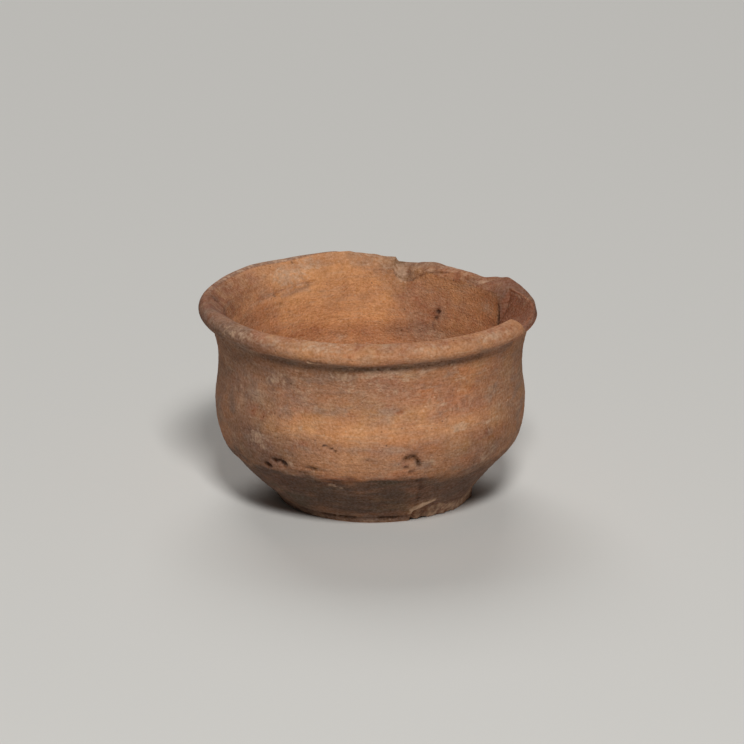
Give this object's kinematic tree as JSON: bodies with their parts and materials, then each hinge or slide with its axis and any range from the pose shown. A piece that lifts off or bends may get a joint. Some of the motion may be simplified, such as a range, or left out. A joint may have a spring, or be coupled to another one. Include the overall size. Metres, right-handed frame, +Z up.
{
  "type": "miniature votive cup",
  "caption": "Small wheel-thrown clay cup with a rolled lip, rounded belly and shaved foot, its rim old-chipped at the back and right.",
  "frame": {"origin": "middle of the foot's flat face, on the surface that the cup stands on", "axes": "+Z up along the axis it was thrown on, -Y towards the side that the picture shows, +X to that view's right"},
  "size_m": [0.0514, 0.0522, 0.0317],
  "materials": {
    "fired_clay": "unglazed, matt, dusty"
  },
  "bodies": {
    "root": {"cup_body": "fired_clay"}
  },
  "joints": []
}
